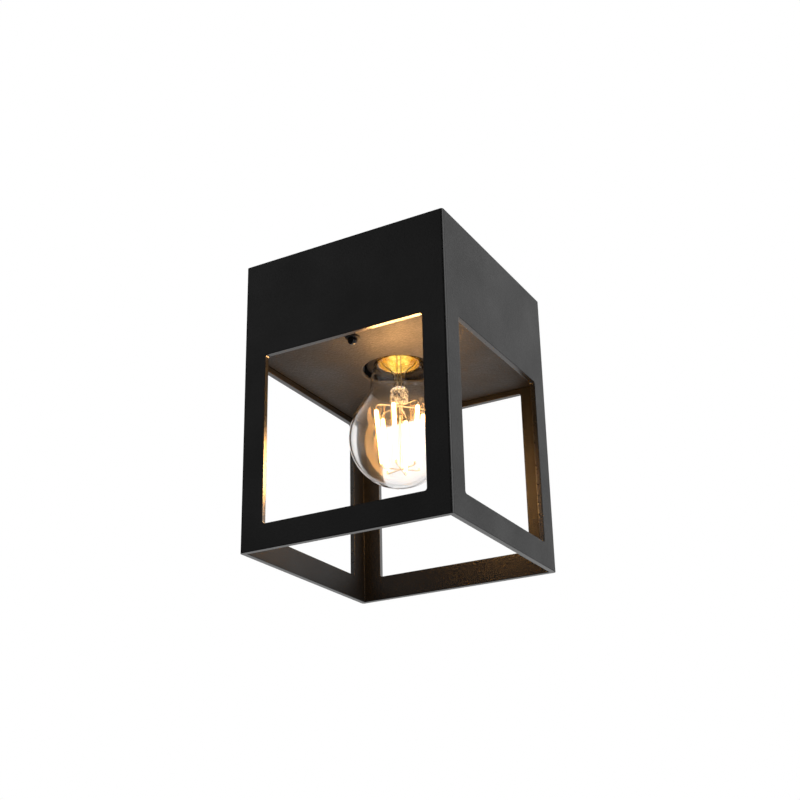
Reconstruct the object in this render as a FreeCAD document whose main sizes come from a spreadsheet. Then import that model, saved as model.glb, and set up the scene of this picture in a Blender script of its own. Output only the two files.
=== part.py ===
import FreeCAD, Part
import math
import os
import Sketcher
from FreeCAD import Placement, Rotation, Vector

# Porch ceiling lantern: a square black cage with four windows that hangs from a crossbar on the
# ceiling and holds one bare bulb. Millimetres, +Z up. The origin is on the ceiling face, at the
# middle of the crossbar, so the lantern lies below z = 0. The front wall faces -Y.

DRIVING_SIZES = [
    # the cage
    ("width", 130.0, "outer width of the square cage"),
    ("wall", 3.0, "thickness of the cage's sheet"),
    ("post_width", 14.5, "width of the posts beside a window"),
    ("rail_height", 14.5, "height of the rail below a window"),
    ("window_height", 100.5, "height of a window"),
    ("outer_edge_radius", 1.5, "rounding of the upright outer edges"),
    ("window_corner_radius", 1.5, "rounding in the corners of a window"),
    # the plate above the windows
    ("plate_thickness", 1.5, "thickness of the lamp plate"),
    ("plate_step", 3.3, "height of the plate's underside above the window tops"),
    ("plate_bend_radius", 1.2, "outer rounding of the plate's bent edges"),
    ("flange_height", 12.0, "height of the plate's bent edges over its underside"),
    ("flange_notch", 4.0, "gap from a plate corner to the end of a bent edge"),
    ("plate_hole_margin", 1.8, "ring gap between lampholder and plate hole"),
    ("weld_stud_radius", 2.0, "radius of the plate's weld studs"),
    ("thread_spare", 1.0, "length of a stud beyond its nut"),
    # the crossbar on the ceiling and what hangs from it
    ("bar_width", 24.0, "width of the crossbar"),
    ("bar_thickness", 2.0, "thickness of the crossbar"),
    ("bar_drop", 4.0, "depth of the crossbar's lowered ends"),
    ("bar_end_gap", 2.0, "gap between a crossbar end and the cage wall"),
    ("stud_wall_gap", 9.0, "distance from a hanging stud to the cage wall"),
    ("stud_land", 9.0, "distance from a hanging stud to the start of its land"),
    ("slot_margin", 2.0, "distance from a ceiling slot to the joggle"),
    ("slot_length", 16.0, "end to end length of a ceiling slot"),
    ("slot_radius", 2.25, "half the width of a ceiling slot"),
    ("thread_radius", 2.0, "radius of the hanging studs"),
    ("hole_clearance", 0.25, "radial clearance of a screw in a plain hole"),
    ("running_clearance", 0.05, "radial clearance of a stud in its cap nut"),
    ("stud_head_radius", 3.8, "radius of a hanging stud's head"),
    ("stud_head_height", 2.6, "height of a hanging stud's head"),
    ("nut_radius", 4.04, "corner radius of a hexagon nut"),
    ("nut_height", 3.2, "height of a hexagon nut"),
    ("bush_bore", 4.0, "radius of the cable bush's bore"),
    ("bush_wall", 2.0, "thickness of the bush in the crossbar's hole"),
    ("bush_flange", 2.0, "width of the bush's flange beyond the hole"),
    ("bush_flange_height", 1.5, "thickness of the bush's flange"),
    ("bush_spout", 1.5, "length of the bush's spout below its flange"),
    ("bush_recess", 0.2, "gap from the bush to the ceiling face"),
    ("earth_screw_gap", 7.0, "distance from the bush's flange to the earth screw"),
    ("earth_screw_edge", 5.0, "distance from the earth screw to the crossbar's edge"),
    ("earth_head_radius", 3.6, "radius of the earth screw's head"),
    ("earth_head_height", 2.4, "height of the earth screw's head"),
    ("earth_washer_thickness", 0.8, "thickness of the washer under the earth screw"),
    ("earth_washer_side", 8.4, "side of the square washer"),
    # the cap nuts
    ("nut_engagement", 2.7, "length of stud inside a cap nut"),
    ("nut_tip_gap", 0.3, "gap between stud end and cap nut bore end"),
    ("nut_crown", 1.7, "thickness of a cap nut under its bore"),
    ("nut_wall", 0.75, "wall of a cap nut's dome around the stud"),
    ("nut_flange_width", 1.4, "width of a cap nut's flange beyond its dome"),
    ("nut_flange_height", 0.9, "thickness of a cap nut's flange"),
    # the lampholder
    ("cable_space", 13.5, "height between ceiling and holder bridge"),
    ("bridge_thickness", 1.5, "thickness of the holder bridge's strip"),
    ("bridge_width", 16.0, "width of the holder bridge's strip"),
    ("wire_lane", 9.1, "gap between lampholder and bridge leg"),
    ("foot_length", 12.0, "length of a bridge foot beyond its leg"),
    ("bridge_bend_radius", 1.0, "outer rounding of the bridge's bends"),
    ("holder_height", 38.5, "height of the lampholder"),
    ("holder_wall", 5.4, "wall of the lampholder around its sleeve"),
    ("holder_step", 2.4, "width of the step from the lampholder's lower to its upper part"),
    ("holder_neck_height", 16.0, "height of the lampholder's upper part"),
    ("holder_base", 8.0, "thickness of the lampholder above its cavity"),
    ("holder_edge_radius", 1.0, "rounding of the lampholder's edges"),
    ("mouth_gap", 1.7, "height of the lampholder's mouth above the plate"),
    ("mouth_wall", 1.5, "wall of the lampholder's mouth around the seal"),
    ("seal_depth", 4.5, "depth of the seal's seat in the mouth"),
    ("seal_recess", 0.2, "gap from the seal to the mouth's rim"),
    ("seal_clearance", 0.7, "radial gap between seal and bulb neck at the mouth"),
    ("seal_lip", 0.5, "rounding of the seal's inner edges"),
    ("sleeve_thickness", 0.5, "thickness of the threaded sleeve"),
    ("sleeve_gap", 2.0, "distance from the sleeve to the cavity's end"),
    ("sleeve_clearance", 0.35, "radial clearance of the bulb's cap in the sleeve"),
    ("small_thread_radius", 1.5, "radius of the lampholder's screws"),
    ("small_head_radius", 2.6, "radius of the lampholder's screw heads"),
    ("small_head_height", 1.8, "height of the lampholder's screw heads"),
    ("small_clearance", 0.05, "radial clearance of the lampholder's screws"),
    ("holder_screw_offset", 12.0, "distance from the axis to a holder screw"),
    ("holder_screw_depth", 5.0, "depth of a holder screw in the lampholder"),
    ("pocket_depth", 7.0, "depth of a terminal pocket"),
    ("terminal_inset", 1.0, "distance from a terminal to the lampholder's outside"),
    ("pocket_gap", 0.5, "gap beside a terminal in its pocket"),
    ("terminal_width", 7.0, "width of a lampholder terminal"),
    ("terminal_depth", 6.0, "depth of a lampholder terminal"),
    ("terminal_height", 6.0, "height of a lampholder terminal"),
    ("strip_gap", 0.2, "gap between a contact strip and the lampholder"),
    ("strip_thickness", 0.6, "thickness of a contact strip"),
    ("strip_width", 4.0, "width of a contact strip"),
    ("strip_overhang", 3.0, "length of the centre contact beyond the axis"),
    ("contact_gap", 0.2, "gap between centre contact and bulb"),
    ("contact_dimple_height", 0.2, "height of the centre contact's dimple"),
    ("contact_dimple_radius", 2.0, "radius of the centre contact's dimple"),
    # the terminal block and the wires
    ("block_wall_gap_x", 15.0, "distance from the terminal block to the side wall"),
    ("block_wall_gap_y", 11.0, "distance from the terminal block to the rear wall"),
    ("block_depth", 18.0, "depth of the terminal block"),
    ("block_height", 15.0, "height of the terminal block"),
    ("pole_pitch", 11.0, "distance between the block's poles"),
    ("pole_height", 6.5, "height of a pole's axis over the plate"),
    ("clamp_radius", 2.4, "outer radius of a clamp tube"),
    ("clamp_bore", 1.5, "inner radius of a clamp tube"),
    ("clamp_recess", 1.0, "distance from a clamp tube's end to the block's face"),
    ("clamp_screw_radius", 1.3, "radius of a clamp screw"),
    ("clamp_screw_offset", 4.5, "distance from the block's middle to a clamp screw"),
    ("clamp_screw_sink", 0.8, "depth of a clamp screw's top below the block's top"),
    ("wire_radius", 0.95, "radius of an insulated wire"),
    ("wire_grip_gap", 0.1, "gap between a clamp screw and its wire"),
    ("wire_end_gap", 1.0, "distance from a wire's end to the end of its grip"),
    ("wire_sweep", 11.0, "size of a wire's free bends"),
    ("tag_thickness", 0.8, "thickness of the earth tag"),
    ("tag_radius", 4.0, "outer radius of the earth tag's ring"),
    ("tag_neck", 1.5, "distance from the earth tag's ring to its barrel"),
    ("tag_barrel_wall", 0.4, "wall of the earth tag's barrel"),
    ("tag_barrel_length", 6.0, "length of the earth tag's barrel"),
    ("tag_wall_gap_x", 36.0, "distance from the earth stud to the side wall"),
    ("tag_wall_gap_y", 24.0, "distance from the earth stud to the rear wall"),
    # the bulb
    ("globe_radius", 29.9, "radius of the bulb's round end"),
    ("glass_length", 77.8, "length of the bulb's glass below its cap"),
    ("glass_thickness", 0.9, "thickness of the bulb's glass"),
    ("shoulder_angle", 32.0, "slope of the bulb's shoulder from upright, in degrees"),
    ("neck_radius", 17.2, "radius of the bulb's neck"),
    ("neck_taper", 16.3, "length over which the neck draws in to the cap"),
    ("knee_radius", 5.0, "inner rounding between shoulder and neck"),
    ("glass_insert", 3.0, "length of glass inside the cap"),
    ("cap_rim_radius", 13.5, "radius of the cap's rim"),
    ("cap_rim_height", 1.2, "height of the cap's rim"),
    ("rim_step", 0.1, "step from the cap's rim down to the glass"),
    ("cap_crest_radius", 13.15, "radius over the cap's thread crests"),
    ("cap_root_radius", 12.4, "radius of the cap's tube between the crests"),
    ("cap_tube_thickness", 0.35, "thickness of the cap's tube"),
    ("cap_pitch", 3.63, "distance between the thread crests"),
    ("cap_thread_start", 4.6, "distance from the rim to the first crest"),
    ("cap_tube_length", 20.2, "length of the cap's tube"),
    ("cap_insulator_height", 5.5, "height of the cap's glass insulator"),
    ("cap_contact_radius", 4.8, "radius of the cap's end contact"),
    ("cap_contact_height", 2.0, "height of the cap's end contact"),
    ("cap_contact_chamfer", 0.8, "slope of the cap's end contact"),
    ("stem_radius", 3.4, "radius of the stem's tube"),
    ("stem_wall", 0.9, "wall of the stem's tube"),
    ("stem_flare_length", 9.0, "length of the stem's flare"),
    ("stem_length", 25.0, "length of the stem from the flare's rim to its bead"),
    ("bead_radius", 4.2, "radius of the stem's bead"),
    ("lead_radius", 0.35, "radius of a lead wire"),
    ("lead_offset", 1.3, "distance from the axis to a lead wire"),
    ("filament_radius", 0.95, "radius of a filament strip"),
    ("filament_top_radius", 14.6, "distance from the axis to a filament's top"),
    ("filament_foot_radius", 10.8, "distance from the axis to a filament's foot"),
    ("filament_drop", 38.0, "height of a filament"),
    ("filament_hang", 3.0, "height of the stem's bead above the filaments"),
    ("filament_turn", 45.0, "angle of the first filament about the axis, in degrees"),
    ("arm_radius", 0.35, "radius of the arms that carry the filaments"),
    ("post_radius", 0.5, "radius of the bulb's middle post"),
]
FILAMENT_COUNT = 6
THREAD_CRESTS = 4
BEND_KNEE = math.tan(math.radians(22.5))

os.makedirs("parts", exist_ok=True)
document = FreeCAD.newDocument("porch_ceiling_lantern")
sheet = document.addObject("Spreadsheet::Sheet", "sizes")
for row, (alias, number, meaning) in enumerate(DRIVING_SIZES, start=1):
    sheet.set(f"A{row}", meaning)
    sheet.set(f"B{row}", str(number))
    sheet.setAlias(f"B{row}", alias)
document.recompute()


class Size:
    """A size with its present value and the sheet expression that it comes from."""

    def __init__(self, value, text):
        self.value = value
        self.text = text

    def __add__(self, other):
        other = as_size(other)
        return Size(self.value + other.value, f"({self.text} + {other.text})")

    def __sub__(self, other):
        other = as_size(other)
        return Size(self.value - other.value, f"({self.text} - {other.text})")

    def __mul__(self, other):
        other = as_size(other)
        return Size(self.value * other.value, f"({self.text} * {other.text})")

    def __truediv__(self, other):
        other = as_size(other)
        return Size(self.value / other.value, f"({self.text} / {other.text})")

    def __rmul__(self, other):
        return as_size(other) * self

    def __rsub__(self, other):
        return as_size(other) - self

    def __neg__(self):
        return Size(-self.value, f"(-1 * {self.text})")


class SizeSheet:
    """Reads a driving size from the sheet by its alias."""

    def __getattr__(self, alias):
        return Size(float(sheet.get(alias)), f"sizes.{alias}")


def as_size(number):
    return number if isinstance(number, Size) else Size(float(number), str(float(number)))


def cosine(angle):
    return Size(math.cos(math.radians(angle.value)), f"cos({angle.text})")


def sine(angle):
    return Size(math.sin(math.radians(angle.value)), f"sin({angle.text})")


def tangent(angle):
    return Size(math.tan(math.radians(angle.value)), f"tan({angle.text})")


def point(x, y, z):
    """The present place of a point given by sizes or plain numbers."""
    return Vector(as_size(x).value, as_size(y).value, as_size(z).value)


# ---------------------------------------------------------------- drawing helpers

def bind(item, name, size):
    item.setExpression(name, as_size(size).text)


def new_body(label):
    body = document.addObject("PartDesign::Body", label)
    body.Label = label
    return body


def new_sketch(body, name, role, height=None):
    sketch = body.newObject("Sketcher::SketchObject", f"{body.Name}_{name}")
    planes = [feature for feature in body.Origin.OriginFeatures if feature.Role == role]
    sketch.AttachmentSupport = [(planes[0], "")]
    sketch.MapMode = "FlatFace"
    if height is not None:
        bind(sketch, "AttachmentOffset.Base.z", height)
    return sketch


def fix_point(sketch, geometry, end, x=None, y=None):
    for axis, size in (("DistanceX", x), ("DistanceY", y)):
        if size is not None:
            size = as_size(size)
            rule = Sketcher.Constraint(axis, -1, 1, geometry, end, size.value)
            number = sketch.addConstraint(rule)
            sketch.setExpression(f"Constraints[{number}]", size.text)


def draw_outline(sketch, corners):
    """Closed outline. A corner (x, y) ends a straight side; (x, y, arc) ends an arc, where arc holds
    the present centre, which of its coordinates is fixed, and True for a counter-clockwise arc."""
    corners = [(as_size(corner[0]), as_size(corner[1])) + tuple(corner[2:]) for corner in corners]
    sides = []
    for index, corner in enumerate(corners):
        before = corners[index - 1]
        start = Vector(before[0].value, before[1].value, 0)
        end = Vector(corner[0].value, corner[1].value, 0)
        if len(corner) == 2:
            sides.append((sketch.addGeometry(Part.LineSegment(start, end), False), 1, 2))
            continue
        centre_x, centre_y, fixed, counter_clockwise = corner[2]
        centre = Vector(as_size(centre_x).value, as_size(centre_y).value, 0)
        first, last = (start, end) if counter_clockwise else (end, start)
        circle = Part.Circle(centre, Vector(0, 0, 1), first.distanceToPoint(centre))
        turn = [math.atan2(spot.y - centre.y, spot.x - centre.x) for spot in (first, last)]
        arc = sketch.addGeometry(Part.ArcOfCircle(circle, turn[0], turn[1]), False)
        fix_point(sketch, arc, 3, **{fixed: {"x": centre_x, "y": centre_y}[fixed]})
        sides.append((arc, 1, 2) if counter_clockwise else (arc, 2, 1))
    for index, (side, _, tail) in enumerate(sides):
        following, head, _ = sides[(index + 1) % len(sides)]
        sketch.addConstraint(Sketcher.Constraint("Coincident", side, tail, following, head))
        fix_point(sketch, side, tail, corners[index][0], corners[index][1])


def draw_box(sketch, low_x, high_x, low_y, high_y):
    draw_outline(sketch, [(low_x, low_y), (high_x, low_y), (high_x, high_y), (low_x, high_y)])


def draw_circle(sketch, x, y, radius):
    present = Part.Circle(point(x, y, 0), Vector(0, 0, 1), radius.value)
    circle = sketch.addGeometry(present, False)
    fix_point(sketch, circle, 3, x, y)
    number = sketch.addConstraint(Sketcher.Constraint("Radius", circle, radius.value))
    sketch.setExpression(f"Constraints[{number}]", radius.text)


def pad(body, name, sketch, length, symmetric=False, downwards=False):
    feature = body.newObject("PartDesign::Pad", f"{body.Name}_{name}")
    feature.Profile = sketch
    bind(feature, "Length", length)
    feature.SideType = "Symmetric" if symmetric else "One side"
    feature.Reversed = downwards
    return feature


def cut(body, name, sketch, depth=None, upwards=False):
    """Pocket of a depth, or through everything both ways if no depth is given."""
    document.recompute()
    before = body.Shape.Volume
    feature = body.newObject("PartDesign::Pocket", f"{body.Name}_{name}")
    feature.Profile = sketch
    if depth is None:
        feature.Type = "ThroughAll"
        feature.SideType = "Symmetric"
    else:
        bind(feature, "Length", depth)
        feature.Reversed = upwards
    document.recompute()
    if not body.Shape.Volume < before:
        raise RuntimeError(f"{feature.Name} cuts nothing")
    return feature


def revolve(body, name, sketch):
    feature = body.newObject("PartDesign::Revolution", f"{body.Name}_{name}")
    feature.Profile = sketch
    feature.ReferenceAxis = (sketch, ["V_Axis"])
    feature.Angle = 360
    return feature


def turned_body(label, corners):
    """A body turned about the Z axis from an outline of radius and height."""
    body = new_body(label)
    sketch = new_sketch(body, "outline", "XZ_Plane")
    draw_outline(sketch, corners)
    revolve(body, "turn", sketch)
    return body


def round_edges(body, name, radius, wanted):
    """Rounds the edges for which wanted(edge) is true."""
    document.recompute()
    base = body.Tip
    names = [f"Edge{number}" for number, edge in enumerate(base.Shape.Edges, start=1) if wanted(edge)]
    if not names:
        raise RuntimeError(f"{body.Name} has no edge for {name}")
    feature = body.newObject("PartDesign::Fillet", f"{body.Name}_{name}")
    feature.Base = (base, names)
    bind(feature, "Radius", radius)
    return feature


def runs_along(edge, axis):
    return abs(abs(edge.tangentAt(edge.FirstParameter).dot(axis)) - 1) < 1e-6


def cylinder(name, radius, height, x=0, y=0, z=0, axis=Vector(0, 0, 1)):
    """Cylinder whose base circle is centred on (x, y, z) and which runs along axis."""
    item = document.addObject("Part::Cylinder", name)
    bind(item, "Radius", radius)
    bind(item, "Height", height)
    item.Placement = Placement(Vector(), Rotation(Vector(0, 0, 1), axis))
    place(item, x, y, z)
    return item


def box(name, low, high):
    item = document.addObject("Part::Box", name)
    for index, side in enumerate(("Length", "Width", "Height")):
        bind(item, side, as_size(high[index]) - low[index])
    place(item, *low)
    return item


def hexagon(name, radius, height, x, y, z):
    item = document.addObject("Part::Prism", name)
    item.Polygon = 6
    bind(item, "Circumradius", radius)
    bind(item, "Height", height)
    place(item, x, y, z)
    return item


def place(item, x, y, z):
    for axis, size in (("x", x), ("y", y), ("z", z)):
        bind(item, f"Placement.Base.{axis}", size)


def fuse(name, pieces):
    item = document.addObject("Part::MultiFuse", name)
    item.Shapes = pieces
    return item


def subtract(name, base, tool):
    item = document.addObject("Part::Cut", name)
    item.Base = base
    item.Tool = tool
    return item


def group(label, pieces):
    """Several separate solids of one kind, kept as one node."""
    item = document.addObject("Part::Compound", label)
    item.Label = label
    item.Links = pieces
    return item


def single(item, label):
    item.Label = label
    return item


# ---------------------------------------------------------------- levels and places

mm = SizeSheet()
half_width = mm.width / 2
inner_half = half_width - mm.wall
window_half = half_width - mm.post_width

bridge_top = -mm.cable_space
holder_top = bridge_top - mm.bridge_thickness
holder_mouth = holder_top - mm.holder_height
plate_top = holder_mouth - mm.mouth_gap
plate_low = plate_top - mm.plate_thickness
window_top = plate_low - mm.plate_step
window_low = window_top - mm.window_height
cage_low = window_low - mm.rail_height

stud_place = inner_half - mm.stud_wall_gap
land_start = stud_place - mm.stud_land
joggle_start = land_start - mm.bar_drop
bar_low = -mm.bar_thickness
land_top = -mm.bar_drop
land_low = land_top - mm.bar_thickness
stud_tip = plate_low - mm.nut_engagement
earth_screw_x = mm.bar_width / 2 - mm.earth_screw_edge
earth_screw_y = mm.bush_bore + mm.bush_wall + mm.bush_flange + mm.earth_screw_gap

sleeve_bore = mm.cap_crest_radius + mm.sleeve_clearance
sleeve_outer = sleeve_bore + mm.sleeve_thickness
holder_radius = sleeve_outer + mm.holder_wall
leg_inner = holder_radius + mm.wire_lane
leg_outer = leg_inner + mm.bridge_thickness
foot_stud_place = leg_outer + mm.foot_length / 2

cavity_top = holder_top - mm.holder_base
strip_low = cavity_top - mm.strip_thickness
sleeve_top = cavity_top - mm.sleeve_gap
seat_top = holder_mouth + mm.seal_depth
seat_radius = holder_radius - mm.mouth_wall
pocket_floor = holder_top - mm.pocket_depth
holder_neck_radius = holder_radius - mm.holder_step
terminal_start = holder_neck_radius - mm.terminal_inset - mm.terminal_depth
pocket_start = terminal_start - mm.strip_thickness - mm.strip_gap
terminal_middle = terminal_start + mm.terminal_depth / 2
terminal_end = terminal_start + mm.terminal_depth
terminal_axis = pocket_floor + mm.terminal_height / 3
terminal_top = pocket_floor + mm.terminal_height
side_strip_outer = sleeve_outer - mm.strip_gap
side_strip_inner = side_strip_outer - mm.strip_thickness

contact_level = strip_low - mm.contact_dimple_height - mm.contact_gap
cap_end_low = contact_level - mm.cap_contact_height
cap_tube_top = cap_end_low - mm.cap_insulator_height
cap_rim_low = cap_tube_top - mm.cap_tube_length
glass_tip = cap_rim_low - mm.glass_length
globe_centre = glass_tip + mm.globe_radius

block_low_x = mm.block_wall_gap_x - inner_half
block_high_x = block_low_x + mm.block_depth
block_middle_x = block_low_x + mm.block_depth / 2
block_high_y = inner_half - mm.block_wall_gap_y
block_low_y = block_high_y - 3 * mm.pole_pitch
block_middle_y = block_high_y - 1.5 * mm.pole_pitch
pole_axis = plate_top + mm.pole_height
earth_x = inner_half - mm.tag_wall_gap_x
earth_y = inner_half - mm.tag_wall_gap_y


# ---------------------------------------------------------------- the cage and its plate

def make_housing_shell():
    body = new_body("housing_shell")
    section = new_sketch(body, "section", "XY_Plane")
    draw_box(section, -half_width, half_width, -half_width, half_width)
    draw_box(section, -inner_half, inner_half, -inner_half, inner_half)
    pad(body, "walls", section, -cage_low, downwards=True)
    document.recompute()
    corner = half_width.value

    def is_outer_upright(edge):
        spot = edge.Vertexes[0].Point
        return runs_along(edge, Vector(0, 0, 1)) and abs(abs(spot.x) - corner) < 1e-6 \
            and abs(abs(spot.y) - corner) < 1e-6

    round_edges(body, "outer_rounding", mm.outer_edge_radius, is_outer_upright)
    for name, role in (("front_windows", "XZ_Plane"), ("side_windows", "YZ_Plane")):
        window = new_sketch(body, name, role)
        draw_box(window, -window_half, window_half, window_low, window_top)
        cut(body, f"{name}_cut", window)

    def is_window_corner(edge):
        spot = edge.CenterOfMass
        level = min(abs(spot.z - window_top.value), abs(spot.z - window_low.value))
        across = runs_along(edge, Vector(1, 0, 0)) or runs_along(edge, Vector(0, 1, 0))
        return across and level < 1e-6 and abs(edge.Length - mm.wall.value) < 1e-6

    round_edges(body, "window_rounding", mm.window_corner_radius, is_window_corner)
    return body


def make_lamp_plate():
    body = new_body("lamp_plate")
    floor = new_sketch(body, "floor", "XY_Plane", plate_low)
    draw_box(floor, -inner_half, inner_half, -inner_half, inner_half)
    pad(body, "sheet", floor, mm.plate_thickness)
    edges = new_sketch(body, "edges", "XY_Plane", plate_top)
    flange_inner = inner_half - mm.plate_thickness
    flange_half = inner_half - mm.flange_notch
    for side in (-1, 1):
        near, far = sorted((side * flange_inner, side * inner_half), key=lambda size: size.value)
        draw_box(edges, near, far, -flange_half, flange_half)
        draw_box(edges, -flange_half, flange_half, near, far)
    pad(body, "flanges", edges, mm.flange_height - mm.plate_thickness)
    holes = new_sketch(body, "holes", "XY_Plane")
    draw_circle(holes, 0, 0, holder_radius + mm.plate_hole_margin)
    for side in (-1, 1):
        draw_circle(holes, 0, side * stud_place, mm.thread_radius + mm.hole_clearance)
    cut(body, "hole_cut", holes)
    low = plate_low.value

    def is_bend(edge):
        box_low = edge.BoundBox
        return abs(box_low.ZMax - low) < 1e-6 and edge.Length > inner_half.value

    round_edges(body, "bends", mm.plate_bend_radius, is_bend)
    return body


def make_plate_studs():
    """Weld studs on the plate: two for the bridge's feet, one each for block and earth tag."""
    places = [
        (foot_stud_place, 0, mm.bridge_thickness),
        (-foot_stud_place, 0, mm.bridge_thickness),
        (block_middle_x, block_middle_y - mm.pole_pitch / 2, mm.block_height),
        (earth_x, earth_y, mm.tag_thickness),
    ]
    studs = []
    nuts = []
    for number, (x, y, clamped) in enumerate(places):
        seat = plate_top + clamped
        height = clamped + mm.nut_height + mm.thread_spare
        studs.append(cylinder(f"weld_stud_{number}", mm.weld_stud_radius, height, x, y, plate_top))
        blank = hexagon(f"weld_nut_blank_{number}", mm.nut_radius, mm.nut_height, x, y, seat)
        bore = cylinder(f"weld_nut_bore_{number}", mm.weld_stud_radius + mm.running_clearance,
                        mm.nut_height, x, y, seat)
        nuts.append(subtract(f"weld_nut_{number}", blank, bore))
    return [group("plate_studs", studs), group("plate_nuts", nuts)]


# ---------------------------------------------------------------- crossbar and hanging studs

def make_ceiling_bracket():
    body = new_body("ceiling_bracket")
    profile = new_sketch(body, "profile", "YZ_Plane")
    knee = BEND_KNEE * mm.bar_thickness
    end = inner_half - mm.bar_end_gap
    draw_outline(profile, [
        (-end, land_top), (-land_start, land_top), (-joggle_start, 0),
        (joggle_start, 0), (land_start, land_top), (end, land_top),
        (end, land_low), (land_start - knee, land_low), (joggle_start - knee, bar_low),
        (knee - joggle_start, bar_low), (knee - land_start, land_low), (-end, land_low),
    ])
    pad(body, "strip", profile, mm.bar_width, symmetric=True)
    holes = new_sketch(body, "holes", "XY_Plane")
    slot_outer = joggle_start - mm.slot_margin - mm.slot_radius
    slot_inner = slot_outer - mm.slot_length + 2 * mm.slot_radius
    for side in (-1, 1):
        low, high = sorted((side * slot_inner, side * slot_outer), key=lambda size: size.value)
        draw_outline(holes, [
            (mm.slot_radius, low, (0, low, "y", True)),
            (mm.slot_radius, high),
            (-mm.slot_radius, high, (0, high, "y", True)),
            (-mm.slot_radius, low),
        ])
        draw_circle(holes, 0, side * stud_place, mm.thread_radius + mm.hole_clearance)
    draw_circle(holes, 0, 0, mm.bush_bore + mm.bush_wall)
    draw_circle(holes, earth_screw_x, earth_screw_y, mm.thread_radius + mm.small_clearance)
    cut(body, "hole_cut", holes)
    return body


def make_cable_bush():
    """Rubber bush in the crossbar's middle hole, pushed in from below."""
    hole = mm.bush_bore + mm.bush_wall
    flange_low = bar_low - mm.bush_flange_height
    spout_low = flange_low - mm.bush_spout
    return turned_body("cable_bush", [
        (mm.bush_bore, -mm.bush_recess),
        (mm.bush_bore, spout_low),
        (mm.bush_bore + mm.bush_wall / 2, spout_low),
        (hole, flange_low),
        (hole + mm.bush_flange, flange_low),
        (hole + mm.bush_flange, bar_low),
        (hole, bar_low),
        (hole, -mm.bush_recess),
    ])


def make_bracket_studs():
    """Two long screws that hang from the crossbar's lowered ends, and their lock nuts."""
    studs = []
    nuts = []
    for name, side in (("front", -1), ("rear", 1)):
        y = side * stud_place
        head = cylinder(f"{name}_stud_head", mm.stud_head_radius, mm.stud_head_height, 0, y, land_top)
        shank = cylinder(f"{name}_stud_shank", mm.thread_radius, land_top - stud_tip, 0, y, stud_tip)
        studs.append(fuse(f"{name}_stud", [head, shank]))
        seat = land_low - mm.nut_height
        blank = hexagon(f"{name}_nut_blank", mm.nut_radius, mm.nut_height, 0, y, seat)
        bore = cylinder(f"{name}_nut_bore", mm.thread_radius + mm.running_clearance,
                        mm.nut_height, 0, y, seat)
        nuts.append(subtract(f"{name}_lock_nut", blank, bore))
    return [group("bracket_studs", studs), group("stud_nuts", nuts)]


def make_earth_screw():
    x, y = earth_screw_x, earth_screw_y
    washer_low = bar_low - mm.earth_washer_thickness
    head = cylinder("earth_head", mm.earth_head_radius, mm.earth_head_height,
                    x, y, washer_low - mm.earth_head_height)
    shank = cylinder("earth_shank", mm.thread_radius, -washer_low - mm.bush_recess, x, y, washer_low)
    half = mm.earth_washer_side / 2
    blank = box("earth_washer_blank", (x - half, y - half, washer_low), (x + half, y + half, bar_low))
    bore = cylinder("earth_washer_bore", mm.thread_radius + mm.small_clearance,
                    mm.earth_washer_thickness, x, y, washer_low)
    washer = subtract("earth_washer_cut", blank, bore)
    return [single(fuse("earth_screw_fused", [head, shank]), "earth_screw"),
            single(washer, "earth_washer")]


def make_cap_nut(label, side):
    """Domed nut under the plate, on the end of a hanging stud."""
    bore = mm.thread_radius + mm.running_clearance
    dome = mm.thread_radius + mm.nut_wall
    flange = dome + mm.nut_flange_width
    flange_low = plate_low - mm.nut_flange_height
    bore_end = stud_tip - mm.nut_tip_gap
    crown = bore_end - mm.nut_crown
    body = turned_body(label, [
        (0, bore_end),
        (0, crown),
        (dome, crown + dome, (0, crown + dome, "x", True)),
        (dome, flange_low),
        (flange, flange_low),
        (flange, plate_low),
        (bore, plate_low),
        (bore, bore_end),
    ])
    bind(body, "Placement.Base.y", side * stud_place)
    rim = flange.value

    def is_flange_rim(edge):
        return abs(edge.BoundBox.XMax - rim) < 1e-6 and edge.BoundBox.ZLength < 1e-6 \
            and abs(edge.BoundBox.ZMax - flange_low.value) < 1e-6

    round_edges(body, "rim_rounding", mm.nut_flange_height / 2, is_flange_rim)
    return body


# ---------------------------------------------------------------- lampholder

def make_holder_bridge():
    body = new_body("holder_bridge")
    profile = new_sketch(body, "profile", "XZ_Plane")
    foot_end = leg_outer + mm.foot_length
    foot_top = plate_top + mm.bridge_thickness
    draw_outline(profile, [
        (-foot_end, plate_top), (-leg_inner, plate_top), (-leg_inner, holder_top),
        (leg_inner, holder_top), (leg_inner, plate_top), (foot_end, plate_top),
        (foot_end, foot_top), (leg_outer, foot_top), (leg_outer, bridge_top),
        (-leg_outer, bridge_top), (-leg_outer, foot_top), (-foot_end, foot_top),
    ])
    pad(body, "strip", profile, mm.bridge_width, symmetric=True)
    holes = new_sketch(body, "holes", "XY_Plane")
    for side in (-1, 1):
        draw_circle(holes, side * foot_stud_place, 0, mm.weld_stud_radius + mm.hole_clearance)
        draw_circle(holes, side * mm.holder_screw_offset, 0,
                    mm.small_thread_radius + mm.hole_clearance)
    cut(body, "hole_cut", holes)

    def is_bend(edge):
        spot = edge.CenterOfMass
        outer = abs(abs(spot.x) - leg_outer.value) < 1e-6 and abs(spot.z - bridge_top.value) < 1e-6
        inner = abs(abs(spot.x) - leg_inner.value) < 1e-6 and abs(spot.z - plate_top.value) < 1e-6
        return runs_along(edge, Vector(0, 1, 0)) and (outer or inner)

    round_edges(body, "bends", mm.bridge_bend_radius, is_bend)
    return body


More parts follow.
